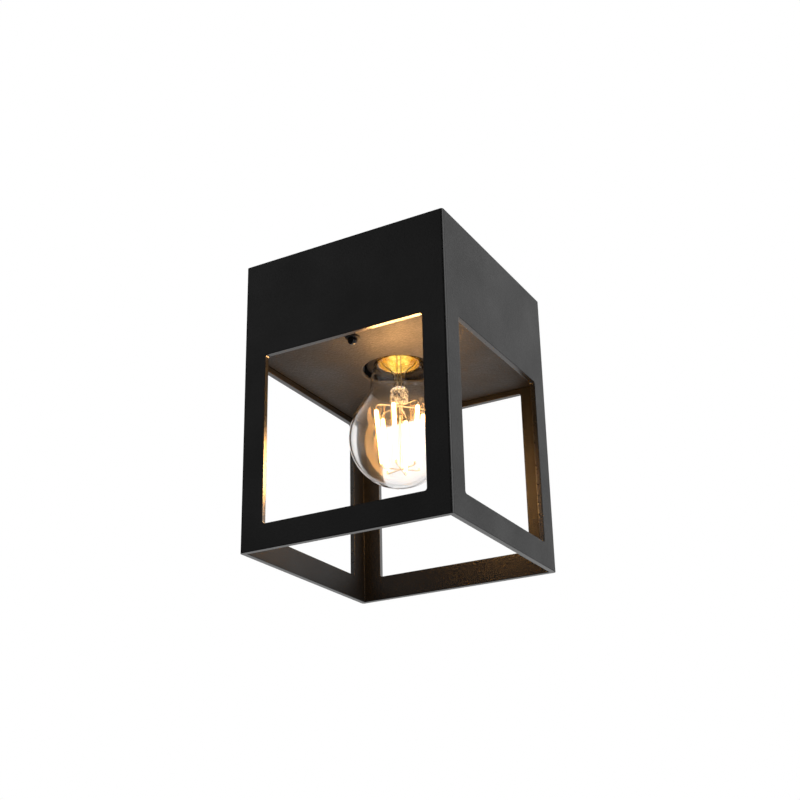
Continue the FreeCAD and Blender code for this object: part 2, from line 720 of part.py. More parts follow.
def make_holder_body():
    """Moulded lampholder: a cavity for the bulb's cap, with two terminal pockets in its base."""
    neck_low = holder_top - mm.holder_neck_height
    body = turned_body("holder_body", [
        (0, holder_top),
        (0, cavity_top),
        (sleeve_outer, cavity_top),
        (sleeve_outer, seat_top),
        (seat_radius, seat_top),
        (seat_radius, holder_mouth),
        (holder_radius, holder_mouth),
        (holder_radius, neck_low),
        (holder_neck_radius, neck_low),
        (holder_neck_radius, holder_top),
    ])
    levels = [holder_mouth.value, neck_low.value]

    def is_outer_rim(edge):
        box_low = edge.BoundBox
        return box_low.ZLength < 1e-6 and abs(box_low.XMax - holder_radius.value) < 1e-6 \
            and min(abs(box_low.ZMax - level) for level in levels) < 1e-6

    rounding = min_size(mm.holder_edge_radius, min_size(mm.mouth_wall, mm.holder_step) / 2)
    round_edges(body, "rim_rounding", rounding, is_outer_rim)
    half = mm.terminal_width / 2 + mm.pocket_gap
    pockets = new_sketch(body, "pockets", "XY_Plane", holder_top)
    for side in (-1, 1):
        near, far = sorted((side * pocket_start, side * holder_radius), key=lambda size: size.value)
        draw_box(pockets, -half, half, near, far)
    cut(body, "pocket_cut", pockets, mm.pocket_depth)
    slits = new_sketch(body, "slits", "XY_Plane", pocket_floor)
    slit_half = mm.strip_width / 2 + mm.strip_gap
    draw_box(slits, -slit_half, slit_half, pocket_start, terminal_start)
    draw_box(slits, -slit_half, slit_half, -side_strip_outer, mm.strip_gap - side_strip_inner)
    cut(body, "slit_cut", slits, pocket_floor - cavity_top)
    screws = new_sketch(body, "screw_holes", "XY_Plane", holder_top)
    for side in (-1, 1):
        draw_circle(screws, side * mm.holder_screw_offset, 0,
                    mm.small_thread_radius + mm.small_clearance)
    cut(body, "screw_hole_cut", screws, mm.holder_screw_depth + mm.thread_spare)
    return body


def make_holder_screws():
    screws = []
    for name, side in (("left", -1), ("right", 1)):
        x = side * mm.holder_screw_offset
        head = cylinder(f"{name}_holder_head", mm.small_head_radius, mm.small_head_height,
                        x, 0, bridge_top)
        tip = holder_top - mm.holder_screw_depth
        shank = cylinder(f"{name}_holder_shank", mm.small_thread_radius, bridge_top - tip, x, 0, tip)
        screws.append(fuse(f"{name}_holder_screw", [head, shank]))
    return group("holder_screws", screws)


def make_thread_sleeve():
    return turned_body("thread_sleeve", [
        (sleeve_bore, seat_top),
        (sleeve_outer, seat_top),
        (sleeve_outer, sleeve_top),
        (sleeve_bore, sleeve_top),
    ])


def make_holder_seal():
    """Soft ring in the mouth that closes the gap to the bulb's neck."""
    seal_low = holder_mouth + mm.seal_recess
    inner = neck_radius_at(seal_low, 0) + mm.seal_clearance
    return turned_body("holder_seal", [
        (seat_radius, seal_low),
        (seat_radius, seat_top),
        (inner + mm.seal_lip, seat_top),
        (inner, seat_top - mm.seal_lip),
        (inner, seal_low + mm.seal_lip),
        (inner + mm.seal_lip, seal_low),
    ])


def make_contacts():
    """The lampholder's two contact strips, its terminals and their screws."""
    half = mm.strip_width / 2
    centre = new_body("centre_contact")
    side_view = new_sketch(centre, "profile", "YZ_Plane")
    inner = terminal_start - mm.strip_thickness
    draw_outline(side_view, [
        (terminal_start, terminal_top), (inner, terminal_top), (inner, cavity_top),
        (-mm.strip_overhang, cavity_top), (-mm.strip_overhang, strip_low),
        (terminal_start, strip_low),
    ])
    pad(centre, "strip", side_view, mm.strip_width, symmetric=True)
    dimple = new_sketch(centre, "dimple", "XY_Plane", strip_low)
    draw_circle(dimple, 0, 0, min_size(mm.contact_dimple_radius, half))
    pad(centre, "dimple_pad", dimple, mm.contact_dimple_height, downwards=True)
    side = single(box("side_contact_strip", (-half, -side_strip_outer, sleeve_top),
                      (half, -side_strip_inner, pocket_floor)), "side_contact")
    terminals = []
    screws = []
    for name, sign in (("live", 1), ("neutral", -1)):
        near, far = sorted((sign * terminal_start, sign * terminal_end),
                           key=lambda size: size.value)
        block = box(f"{name}_terminal_blank", (-mm.terminal_width / 2, near, pocket_floor),
                    (mm.terminal_width / 2, far, terminal_top))
        y = sign * terminal_middle
        wire_hole = cylinder(f"{name}_wire_hole", wire_bore(), mm.terminal_depth,
                             0, near, terminal_axis, Vector(0, 1, 0))
        screw_hole = cylinder(f"{name}_screw_hole", mm.small_thread_radius + mm.small_clearance,
                              terminal_top - terminal_axis, 0, y, terminal_axis)
        terminals.append(subtract(f"{name}_terminal", block,
                                  fuse(f"{name}_terminal_holes", [wire_hole, screw_hole])))
        head = cylinder(f"{name}_screw_head", mm.small_head_radius, mm.small_head_height,
                        0, y, terminal_top)
        tip = terminal_axis + mm.wire_radius + mm.wire_grip_gap
        shank = cylinder(f"{name}_screw_shank", mm.small_thread_radius, terminal_top - tip, 0, y, tip)
        screws.append(fuse(f"{name}_terminal_screw", [head, shank]))
    return [centre, side, group("holder_terminals", terminals),
            group("holder_terminal_screws", screws)]


def min_size(first, second):
    return Size(min(first.value, second.value), f"min({first.text}; {second.text})")


def wire_bore():
    return mm.wire_radius + mm.strip_gap


# ---------------------------------------------------------------- terminal block and wiring

def pole_places():
    """The three poles of the block, from the one next to the bridge to the rear one."""
    return [block_middle_y + step * mm.pole_pitch for step in (-1, 0, 1)]


def make_terminal_block():
    body = new_body("terminal_block")
    base = new_sketch(body, "base", "XY_Plane", plate_top)
    draw_box(base, block_low_x, block_high_x, block_low_y, block_high_y)
    pad(body, "moulding", base, mm.block_height)
    poles = new_sketch(body, "poles", "YZ_Plane")
    for y in pole_places():
        draw_circle(poles, y, pole_axis, mm.clamp_radius)
    cut(body, "pole_cut", poles)
    fixing = new_sketch(body, "fixing", "XY_Plane")
    draw_circle(fixing, block_middle_x, block_middle_y - mm.pole_pitch / 2,
                mm.weld_stud_radius + mm.hole_clearance)
    cut(body, "fixing_cut", fixing)
    wells = new_sketch(body, "wells", "XY_Plane", plate_top + mm.block_height)
    for x, y in clamp_screw_places():
        draw_circle(wells, x, y, mm.clamp_screw_radius + mm.hole_clearance)
    cut(body, "well_cut", wells, mm.block_height - mm.pole_height)
    return body


def clamp_screw_places():
    return [(block_middle_x + side * mm.clamp_screw_offset, y)
            for y in pole_places() for side in (-1, 1)]


def make_clamps():
    tubes = []
    start = block_low_x + mm.clamp_recess
    length = mm.block_depth - 2 * mm.clamp_recess
    along = Vector(1, 0, 0)
    for number, y in enumerate(pole_places()):
        outer = cylinder(f"clamp_outer_{number}", mm.clamp_radius, length, start, y, pole_axis, along)
        holes = [cylinder(f"clamp_bore_{number}", mm.clamp_bore, length, start, y, pole_axis, along)]
        for side in (-1, 1):
            x = block_middle_x + side * mm.clamp_screw_offset
            holes.append(cylinder(f"clamp_thread_{number}_{side + 1}",
                                  mm.clamp_screw_radius + mm.small_clearance,
                                  mm.clamp_radius, x, y, pole_axis))
        tubes.append(subtract(f"clamp_tube_{number}", outer, fuse(f"clamp_holes_{number}", holes)))
    screws = []
    tip = pole_axis + mm.wire_radius + mm.wire_grip_gap
    top = plate_top + mm.block_height - mm.clamp_screw_sink
    for number, (x, y) in enumerate(clamp_screw_places()):
        screws.append(cylinder(f"clamp_screw_{number}", mm.clamp_screw_radius, top - tip, x, y, tip))
    return [group("terminal_clamps", tubes), group("terminal_screws", screws)]


def tag_axis():
    return plate_top + mm.tag_barrel_wall + wire_bore()


def tag_entry():
    return earth_x - mm.tag_radius - mm.tag_neck - mm.tag_barrel_length


def make_earth_tag():
    """Ring tag under the earth nut, with a barrel that grips its wire."""
    ring = cylinder("tag_ring", mm.tag_radius, mm.tag_thickness, earth_x, earth_y, plate_top)
    barrel_start = tag_entry()
    outer = wire_bore() + mm.tag_barrel_wall
    tongue = box("tag_tongue", (barrel_start, earth_y - mm.tag_radius / 2, plate_top),
                 (earth_x, earth_y + mm.tag_radius / 2, plate_top + mm.tag_thickness))
    barrel = cylinder("tag_barrel", outer, mm.tag_barrel_length, barrel_start, earth_y, tag_axis(),
                      Vector(1, 0, 0))
    stud_hole = cylinder("tag_hole", mm.weld_stud_radius + mm.hole_clearance, mm.tag_thickness,
                         earth_x, earth_y, plate_top)
    wire_hole = cylinder("tag_wire_hole", wire_bore(), mm.tag_barrel_length, barrel_start, earth_y,
                         tag_axis(), Vector(1, 0, 0))
    solid = fuse("tag_solid", [ring, tongue, barrel])
    return single(subtract("tag_cut", solid, fuse("tag_holes", [stud_hole, wire_hole])), "earth_tag")


def wire_path(corners):
    """Straight runs joined by arcs that touch them, each arc as large as its two runs allow."""
    edges = []
    start = corners[0]
    for before, corner, after in zip(corners, corners[1:], corners[2:]):
        arriving = (corner - before).normalize()
        leaving = (after - corner).normalize()
        turn = arriving.getAngle(leaving)
        reach = 0.45 * min((corner - before).Length, (after - corner).Length)
        radius = reach / math.tan(turn / 2)
        arc_start = corner - arriving * reach
        arc_end = corner + leaving * reach
        inwards = (leaving - arriving).normalize()
        middle = corner + inwards * (radius / math.cos(turn / 2) - radius)
        edges.append(Part.LineSegment(start, arc_start).toShape())
        edges.append(Part.Arc(arc_start, middle, arc_end).toShape())
        start = arc_end
    edges.append(Part.LineSegment(start, corners[-1]).toShape())
    return Part.Wire(edges)


def make_wire(label, corners):
    path = wire_path(corners)
    circle = Part.Circle(corners[0], (corners[1] - corners[0]).normalize(), mm.wire_radius.value)
    solid = path.makePipeShell([Part.Wire([circle.toShape()])], True, False)
    expected = math.pi * mm.wire_radius.value ** 2 * path.Length
    if abs(solid.Volume - expected) > 0.01 * expected:
        raise RuntimeError(f"{label} is not as large as its path")
    wire = document.addObject("Part::Feature", label)
    wire.Label = label
    wire.Shape = solid
    return wire


def make_wires():
    """From the block to the lampholder's two terminals and to the earth tag."""
    front_pole, middle_pole, rear_pole = pole_places()
    grip = block_middle_x + mm.wire_end_gap
    clear = block_high_x + mm.wire_sweep
    beside = leg_inner - mm.wire_lane / 2
    behind = holder_radius + mm.wire_sweep
    end = terminal_start + mm.strip_gap
    drift = mm.wire_sweep / 5
    live = [
        point(grip, front_pole, pole_axis),
        point(clear, front_pole, pole_axis),
        point(-holder_radius / 2, behind, climb(0.6)),
        point(0, behind, terminal_axis),
        point(0, end, terminal_axis),
    ]
    neutral = [
        point(grip, rear_pole, pole_axis),
        point(clear, rear_pole, pole_axis),
        point(clear + drift, rear_pole - mm.wire_sweep, climb(0.25)),
        point(-beside, holder_radius + drift, climb(0.45)),
        point(-beside, 0, climb(0.55)),
        point(drift - beside, -holder_radius, climb(0.75)),
        point(-holder_radius / 2, -behind, climb(0.95)),
        point(0, -behind, terminal_axis),
        point(0, -end, terminal_axis),
    ]
    earth = [
        point(grip, middle_pole, pole_axis),
        point(clear, middle_pole, pole_axis),
        point(tag_entry() - 1.5 * mm.wire_sweep, earth_y + drift, (pole_axis + tag_axis()) / 2),
        point(tag_entry() - 0.6 * mm.wire_sweep, earth_y, tag_axis()),
        point(tag_entry() + mm.tag_barrel_length - mm.wire_end_gap, earth_y, tag_axis()),
    ]
    return [make_wire("wire_live", live), make_wire("wire_neutral", neutral),
            make_wire("wire_earth", earth)]


def climb(share):
    """Level part of the way up from the block's poles to the lampholder's terminals."""
    return pole_axis + (terminal_axis - pole_axis) * share


# ---------------------------------------------------------------- bulb

def short_side(long_side, other_side):
    """The third side of a right-angled triangle from its longest side and another one."""
    value = math.sqrt(long_side.value ** 2 - other_side.value ** 2)
    return Size(value, f"sqrt({long_side.text}^2 - {other_side.text}^2)")


def taper_radius():
    """Radius of the arc by which the neck draws in from its widest place to the cap."""
    drawn_in = mm.neck_radius - glass_rim_radius()
    return (mm.neck_taper * mm.neck_taper + drawn_in * drawn_in) / (2 * drawn_in)


def glass_rim_radius():
    return mm.cap_rim_radius - mm.rim_step


def neck_radius_at(level, inset):
    """Radius of the drawn-in neck at a level, its glass drawn in by inset."""
    below = level - (cap_rim_low - mm.neck_taper)
    return mm.neck_radius - taper_radius() + short_side(taper_radius() - inset, below)


def glass_corners(inset):
    """Corners of the bulb's outline from its tip to its rim, drawn in by inset."""
    globe = mm.globe_radius - inset
    neck = mm.neck_radius - inset
    angle = mm.shoulder_angle
    shoulder_x = globe * cosine(angle)
    shoulder_z = globe_centre + globe * sine(angle)
    neck_low = shoulder_z + (shoulder_x - neck) / tangent(angle)
    reach = mm.knee_radius * tangent(angle / 2)
    taper_low = cap_rim_low - mm.neck_taper
    return [
        (0, globe_centre - globe),
        (shoulder_x, shoulder_z, (0, globe_centre, "x", True)),
        (neck + reach * sine(angle), neck_low - reach * cosine(angle)),
        (neck, neck_low + reach, (neck + mm.knee_radius, neck_low + reach, "y", False)),
        (neck, taper_low),
        (neck_radius_at(cap_rim_low - inset, inset), cap_rim_low - inset,
         (mm.neck_radius - taper_radius(), taper_low, "y", True)),
    ]


def turn_back(corners):
    """The same corners in the other order, each arc kept with the side that it belongs to."""
    back = []
    for index in range(len(corners) - 1, -1, -1):
        x, y = corners[index][0], corners[index][1]
        after = corners[index + 1] if index + 1 < len(corners) else ()
        if len(after) == 3:
            centre_x, centre_y, fixed, counter_clockwise = after[2]
            back.append((x, y, (centre_x, centre_y, fixed, not counter_clockwise)))
        else:
            back.append((x, y))
    return back


def make_bulb_glass():
    insert = mm.cap_root_radius - mm.cap_tube_thickness - mm.strip_gap
    insert_top = cap_rim_low + mm.glass_insert
    outer = glass_corners(as_size(0))
    inner = turn_back(glass_corners(mm.glass_thickness))
    middle = [
        (insert, cap_rim_low),
        (insert, insert_top),
        (insert - mm.glass_thickness, insert_top),
        (insert - mm.glass_thickness, cap_rim_low - mm.glass_thickness),
    ]
    return turned_body("bulb_glass", outer + middle + inner)


def make_bulb_cap():
    """Screw cap: a thin tube with round crests, a rim against the glass, and its end pieces."""
    pieces = [
        cylinder("cap_rim", mm.cap_rim_radius, mm.cap_rim_height, 0, 0, cap_rim_low),
        cylinder("cap_tube", mm.cap_root_radius, mm.cap_tube_length, 0, 0, cap_rim_low),
    ]
    for number in range(THREAD_CRESTS):
        crest = document.addObject("Part::Torus", f"cap_crest_{number}")
        bind(crest, "Radius1", mm.cap_root_radius)
        bind(crest, "Radius2", mm.cap_crest_radius - mm.cap_root_radius)
        place(crest, 0, 0, cap_rim_low + mm.cap_thread_start + number * mm.cap_pitch)
        pieces.append(crest)
    bore = cylinder("cap_bore", mm.cap_root_radius - mm.cap_tube_thickness, mm.cap_tube_length,
                    0, 0, cap_rim_low)
    cap = single(subtract("cap_cut", fuse("cap_solid", pieces), bore), "bulb_cap")
    insulator = turned_body("cap_insulator", [
        (0, cap_tube_top),
        (mm.cap_root_radius, cap_tube_top),
        (mm.cap_contact_radius + mm.cap_contact_chamfer, cap_end_low),
        (0, cap_end_low),
    ])
    contact = turned_body("cap_contact", [
        (0, cap_end_low),
        (mm.cap_contact_radius, cap_end_low),
        (mm.cap_contact_radius - mm.cap_contact_chamfer, contact_level),
        (0, contact_level),
    ])
    return [cap, insulator, contact]


def make_bulb_stem():
    """Glass stem: a flare in the neck, a tube and a bead that the wires are sealed in."""
    rim_top = cap_rim_low + mm.glass_insert
    rim = mm.cap_root_radius - mm.cap_tube_thickness - mm.strip_gap - mm.glass_thickness
    tube_top = rim_top - mm.stem_flare_length
    bead = rim_top - mm.stem_length
    bore = mm.stem_radius - mm.stem_wall
    flare = mm.stem_flare_length / 3
    joint = short_side(mm.bead_radius, mm.stem_radius)
    return turned_body("bulb_stem", [
        (rim, rim_top),
        (rim - mm.stem_wall, rim_top),
        (bore + mm.stem_wall, tube_top + flare),
        (bore, tube_top),
        (bore, bead),
        (0, bead),
        (0, bead - mm.bead_radius),
        (mm.stem_radius, bead + joint, (0, bead, "x", True)),
        (mm.stem_radius, tube_top),
        (mm.stem_radius + mm.stem_wall, tube_top + flare),
        (rim, rim_top - flare / 2),
    ])


def bead_foot():
    return cap_rim_low + mm.glass_insert - mm.stem_length - mm.bead_radius


def make_bulb_leads():
    """Two lead wires from the cap's end down the stem's tube to its bead."""
    top = cap_tube_top
    low = cap_rim_low + mm.glass_insert - mm.stem_length
    wires = [cylinder(f"lead_{number}", mm.lead_radius, top - low, side * mm.lead_offset, 0, low)
             for number, side in enumerate((-1, 1))]
    return group("bulb_leads", wires)


def rod(start, end, radius):
    return Part.makeCylinder(radius, (end - start).Length, start, end - start)


def around(radius, angle, level):
    turn = math.radians(angle)
    return Vector(radius * math.cos(turn), radius * math.sin(turn), level)


def make_filaments():
    """Six slanted filament strips and the post and arms that carry them."""
    hub_level = bead_foot().value - mm.filament_hang.value / 2
    arm_level = bead_foot().value - mm.filament_hang.value
    foot_level = arm_level - mm.filament_drop.value
    lift = mm.arm_radius.value
    strips = []
    frame = rod(Vector(0, 0, bead_foot().value), Vector(0, 0, foot_level), mm.post_radius.value)
    for number in range(FILAMENT_COUNT):
        angle = mm.filament_turn.value + number * 360 / FILAMENT_COUNT
        top = around(mm.filament_top_radius.value, angle, arm_level)
        foot = around(mm.filament_foot_radius.value, angle, foot_level)
        along = (foot - top).normalize()
        strips.append(rod(top + along * lift, foot - along * lift, mm.filament_radius.value))
        frame = frame.fuse(rod(Vector(0, 0, hub_level), top, mm.arm_radius.value))
        frame = frame.fuse(rod(Vector(0, 0, foot_level), foot, mm.arm_radius.value))
    filaments = document.addObject("Part::Feature", "bulb_filaments")
    filaments.Shape = Part.makeCompound(strips)
    carrier = document.addObject("Part::Feature", "bulb_frame")
    carrier.Shape = frame
    return [single(filaments, "bulb_filaments"), single(carrier, "bulb_frame")]


# ---------------------------------------------------------------- build, check and write

nodes = [
    make_housing_shell(), make_lamp_plate(), *make_plate_studs(),
    make_ceiling_bracket(), make_cable_bush(), *make_bracket_studs(), *make_earth_screw(),
    make_cap_nut("cap_nut_front", -1), make_cap_nut("cap_nut_rear", 1),
    make_holder_bridge(), make_holder_body(), make_holder_screws(), make_thread_sleeve(),
    make_holder_seal(), *make_contacts(),
    make_terminal_block(), *make_clamps(), make_earth_tag(), *make_wires(),
    make_bulb_glass(), *make_bulb_cap(), make_bulb_stem(), make_bulb_leads(), *make_filaments(),
]
document.recompute()
for item in document.Objects:
    if "Invalid" in item.State or "Error" in item.State:
        raise RuntimeError(f"{item.Name} did not build: {item.State}")
for node in nodes:
    if node.Shape.isNull() or not node.Shape.isValid():
        raise RuntimeError(f"{node.Label} has no valid shape")
for node in nodes:
    node.Shape.exportStep(f"parts/{node.Label}.step")
    print(node.Label, len(node.Shape.Solids), round(node.Shape.Volume, 2))
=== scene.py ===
from math import asin, atan2, cos, degrees, hypot, pi, radians, sin, tan

import bpy
from mathutils import Matrix, Vector


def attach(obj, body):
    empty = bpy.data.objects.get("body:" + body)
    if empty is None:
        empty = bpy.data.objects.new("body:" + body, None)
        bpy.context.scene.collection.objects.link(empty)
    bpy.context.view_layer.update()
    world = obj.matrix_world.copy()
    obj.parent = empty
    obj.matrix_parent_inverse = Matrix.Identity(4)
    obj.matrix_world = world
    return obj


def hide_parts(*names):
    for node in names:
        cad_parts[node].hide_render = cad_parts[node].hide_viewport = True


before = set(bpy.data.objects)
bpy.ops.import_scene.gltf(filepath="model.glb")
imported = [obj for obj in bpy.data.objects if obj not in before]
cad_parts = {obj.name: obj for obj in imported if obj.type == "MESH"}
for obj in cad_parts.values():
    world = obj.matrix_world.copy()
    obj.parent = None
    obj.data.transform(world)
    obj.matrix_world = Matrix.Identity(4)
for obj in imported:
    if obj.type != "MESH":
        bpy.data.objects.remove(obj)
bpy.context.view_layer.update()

MM = 0.001

# Sizes in millimetres. A level is its distance from the ceiling face, and below it is negative.
CAGE_HEIGHT = 175.0
WALL_INSIDE = 62.0              # from the middle to a wall's inner face
WALL_OUTSIDE = 65.0             # from the middle to a wall's outer face
PLATE_LOW = -56.7               # level of the lamp plate's underside
STUD_PLACE = 53.0               # from the middle to a hanging stud
NUT_END = -61.4                 # level of a cap nut's lowest point
NUT_DOME = 2.75                 # radius of a cap nut's dome
CAP_RIM = -51.7                 # level of the screw cap's lower rim
CAP_CREST = 13.1                # radius of the thread's crests
CAP_ROOT = 12.4                 # radius of the thread's roots
CAP_PITCH = 3.63
CAP_TURNS = 4
NECK_INSERT = 11.85             # radius of the glass that is cemented into the cap
NECK_WIDEST = -68.0             # level where the neck has reached its full width
NECK_RADIUS = 17.2
NECK_CURVE = 36.86              # radius of the neck's long curve
KNEE_RADIUS = 5.0               # rounding between the neck and the shoulder
SHOULDER_SLOPE = 32.0           # degrees from upright
GLOBE_RADIUS = 29.9
GLOBE_CENTRE = -99.6            # level of the globe's middle
GLASS_THICKNESS = 0.9
STEM_TOP = CAP_RIM + 3.0        # level of the stem's flare in the cap
STEM_TUBE = 3.3                 # radius of the stem's tube
PRESS_END = -77.9               # level of the pressed end
PRESS_HEIGHT = 10.0
FILAMENT_TOP = (14.6, -80.9)    # distance from the middle, and level, of a strip's upper end
FILAMENT_FOOT = (10.8, -118.9)  # the same of its lower end
FILAMENT_TAB = 2.5              # length of the metal tab at each end of a strip
FILAMENT_RADIUS = 1.15
FILAMENTS = 6
FILAMENT_TURN = 45.0            # degrees that the first strip is turned from the X axis


# ---------------------------------------------------------------- shader maths

class Wire:
    """A node's output, with the arithmetic that adds Math nodes."""

    def __init__(self, paint, source):
        self.paint = paint
        self.source = source

    def __add__(self, other):
        return self.paint.maths("ADD", self, other)

    def __radd__(self, other):
        return self.paint.maths("ADD", other, self)

    def __sub__(self, other):
        return self.paint.maths("SUBTRACT", self, other)

    def __rsub__(self, other):
        return self.paint.maths("SUBTRACT", other, self)

    def __mul__(self, other):
        return self.paint.maths("MULTIPLY", self, other)

    def __rmul__(self, other):
        return self.paint.maths("MULTIPLY", other, self)


class Paint:
    """One material and the nodes that it is made of."""

    def __init__(self, name):
        self.material = bpy.data.materials.new(name)
        self.material.use_nodes = True
        self.tree = self.material.node_tree
        self.tree.nodes.clear()

    def node(self, kind, settings=(), sockets=(), output=0):
        """Any node, with its settings, a ramp's stops among them, and its sockets' values or wires."""
        node = self.tree.nodes.new(kind)
        for name, value in dict(settings).items():
            if name == "stops":
                self.set_stops(node.color_ramp, value)
            else:
                setattr(node, name, value)
        for name, value in dict(sockets).items():
            if isinstance(value, Wire):
                self.tree.links.new(value.source, node.inputs[name])
            else:
                node.inputs[name].default_value = value
        return Wire(self, node.outputs[output])

    def set_stops(self, ramp, stops):
        while len(ramp.elements) < len(stops):
            ramp.elements.new(0.5)
        for element, (place, colour) in zip(ramp.elements, stops):
            element.position = place
            element.color = colour

    def maths(self, operation, *values):
        return self.node("ShaderNodeMath", {"operation": operation}, dict(enumerate(values)))

    def place(self):
        return self.node("ShaderNodeTexCoord", output="Object")

    def axes(self):
        """The place split into its three distances."""
        place = self.place()
        return [self.node("ShaderNodeSeparateXYZ", sockets={"Vector": place}, output=axis)
                for axis in ("X", "Y", "Z")]

    def farther(self, across, along):
        """The larger of two distances from the middle, whichever side they are on."""
        return self.maths("MAXIMUM", self.maths("ABSOLUTE", across), self.maths("ABSOLUTE", along))

    def below(self, value, limit_mm):
        """One where the value is under the limit and nought above it."""
        return self.maths("LESS_THAN", value, limit_mm * MM)

    def noise(self, size_mm, detail=2.0, roughness=0.5, swirl=0.0):
        """Cloudy pattern between 0 and 1 whose patches are about size_mm across."""
        return self.node("ShaderNodeTexNoise", sockets={
            "Vector": self.place(), "Scale": 1.0 / (size_mm * MM), "Detail": detail,
            "Roughness": roughness, "Distortion": swirl})

    def ramp(self, factor, stops):
        return self.node("ShaderNodeValToRGB", {"stops": stops}, {"Fac": factor})

    def spread(self, factor, low, high):
        """The pattern stretched to run from low to high."""
        return self.node("ShaderNodeMapRange", sockets={
            "Value": factor, "From Min": 0.3, "From Max": 0.7, "To Min": low, "To Max": high})

    def blend(self, factor, first, second):
        """Colour between first and second, on the Mix node's own colour sockets."""
        return self.node("ShaderNodeMix", {"data_type": "RGBA"}, {0: factor, 6: first, 7: second},
                         output=2)

    def bump(self, height, depth_mm, on=None):
        """Normals of a relief that deep, laid over other normals where they are given."""
        sockets = {"Height": height, "Distance": depth_mm * MM, "Strength": 1.0}
        if on:
            sockets["Normal"] = on
        return self.node("ShaderNodeBump", sockets=sockets)

    def soft_edges(self, radius_mm):
        """Normals turned round the edges as a thick coat of paint rounds them."""
        return self.node("ShaderNodeBevel", {"samples": 6}, {"Radius": radius_mm * MM})

    def mix(self, factor, first, second):
        """One shader where the factor is nought and the other where it is one."""
        return self.node("ShaderNodeMixShader", sockets={0: factor, 1: first, 2: second})

    def surface(self, sockets):
        """Closes the material with one main shader."""
        self.close(self.node("ShaderNodeBsdfPrincipled", sockets=sockets))

    def close(self, shader):
        output = self.tree.nodes.new("ShaderNodeOutputMaterial")
        self.tree.links.new(shader.source, output.inputs["Surface"])


def grey(value):
    return (value, value, value, 1.0)


def coat_shader(paint, dark, light, roughness, spread, specular, grain_mm, depth_mm, edge_mm):
    """Matt black powder coat: a fine pebbled skin with faint cloudy changes in its sheen."""
    grain = paint.noise(grain_mm, 3.0, 0.6)
    cloud = paint.noise(28.0, 2.0)
    return paint.node("ShaderNodeBsdfPrincipled", sockets={
        "Base Color": paint.blend(paint.spread(grain, 0.0, 1.0), grey(dark), grey(light)),
        "Roughness": paint.spread(cloud * 0.4 + grain * 0.6, roughness - spread, roughness + spread),
        "Specular IOR Level": specular,
        "Normal": paint.bump(grain, depth_mm, on=paint.soft_edges(edge_mm)),
    })


def powder_coat(name, **skin):
    """Powder coat that is the same all over."""
    paint = Paint(name)
    paint.close(coat_shader(paint, **skin))
    return paint.material


def housing_coat(name, **skin):
    """Powder coat that has flowed glossy on the cut edges, and inside the walls above the plate a dim
    matt coat that is painted shade, as if a ceiling shaded the inside.
    """
    paint = Paint(name)
    across, along, height = paint.axes()
    away = paint.farther(across, along)
    # Painted shade: inside the walls above the plate the coat barely reflects, as if a ceiling shaded
    # it.
    painted_inner_shade = paint.node("ShaderNodeBsdfPrincipled", sockets={
        "Base Color": paint.blend(paint.noise(6.0, 3.0), grey(0.002), grey(0.006)),
        "Roughness": 0.9,
        "Specular IOR Level": 0.1,
    })
    flowed = paint.node("ShaderNodeBsdfPrincipled", sockets={
        "Base Color": grey(0.003),
        "Roughness": paint.spread(paint.noise(2.0, 2.0), 0.27, 0.29),
        "Specular IOR Level": 1.0,
        "Normal": paint.soft_edges(0.6),
    })
    margin = 0.1
    inside = paint.below(away, WALL_INSIDE + margin)
    cut_edge = (1.0 - inside) * paint.below(away, WALL_OUTSIDE - margin)
    coat = paint.mix(cut_edge, coat_shader(paint, **skin), flowed)
    above_plate = 1.0 - paint.below(height, PLATE_LOW)
    paint.close(paint.mix(inside * above_plate, coat, painted_inner_shade))
    return paint.material


def nut_gloss(name):
    """Black nut: a glossy dome on a matt flange."""
    paint = Paint(name)
    height = paint.axes()[2]
    flange_height = 1.05
    dome = paint.below(height, PLATE_LOW - flange_height)
    cloud = paint.noise(2.0, 2.0)
    paint.surface({
        "Base Color": paint.blend(cloud, grey(0.002), grey(0.005)),
        "Roughness": 0.75 - dome * paint.spread(cloud, 0.67, 0.70),
        "Specular IOR Level": 0.4,
    })
    return paint.material


def zinc_plate(name):
    """Bright zinc on steel: cloudy grains and fine rolling marks."""
    paint = Paint(name)
    grain = paint.noise(2.4, 2.0)
    fine = paint.noise(0.25, 3.0)
    paint.surface({
        "Base Color": paint.ramp(grain, [(0.3, (0.40, 0.41, 0.42, 1)), (0.7, (0.62, 0.62, 0.61, 1))]),
        "Metallic": 1.0,
        "Roughness": paint.spread(grain * 0.6 + fine * 0.4, 0.28, 0.44),
        "Normal": paint.bump(fine, 0.01),
    })
    return paint.material


def brass(name, dark=(0.42, 0.26, 0.09, 1), light=(0.66, 0.45, 0.18, 1), roughness=0.25):
    """Drawn or turned metal with cloudy tarnish; the plain colours are brass."""
    paint = Paint(name)
    cloud = paint.noise(3.0, 3.0)
    fine = paint.noise(0.2, 2.0)
    paint.surface({
        "Base Color": paint.ramp(cloud, [(0.3, dark), (0.7, light)]),
        "Metallic": 1.0,
        "Roughness": paint.spread(cloud, roughness - 0.06, roughness + 0.10),
        "Normal": paint.bump(fine, 0.008),
    })
    return paint.material


def moulding(name, dark, light, roughness, specular=0.5, edge_mm=0.2):
    """Moulded plastic or rubber: a faint skin with small changes in colour and gloss."""
    paint = Paint(name)
    grain = paint.noise(0.6, 2.0)
    cloud = paint.noise(9.0, 2.0)
    paint.surface({
        "Base Color": paint.ramp(cloud, [(0.3, dark), (0.7, light)]),
        "Roughness": paint.spread(grain * 0.4 + cloud * 0.6, roughness * 0.85, roughness * 1.15),
        "Specular IOR Level": specular,
        "Normal": paint.bump(grain, 0.01, on=paint.soft_edges(edge_mm)),
    })
    return paint.material


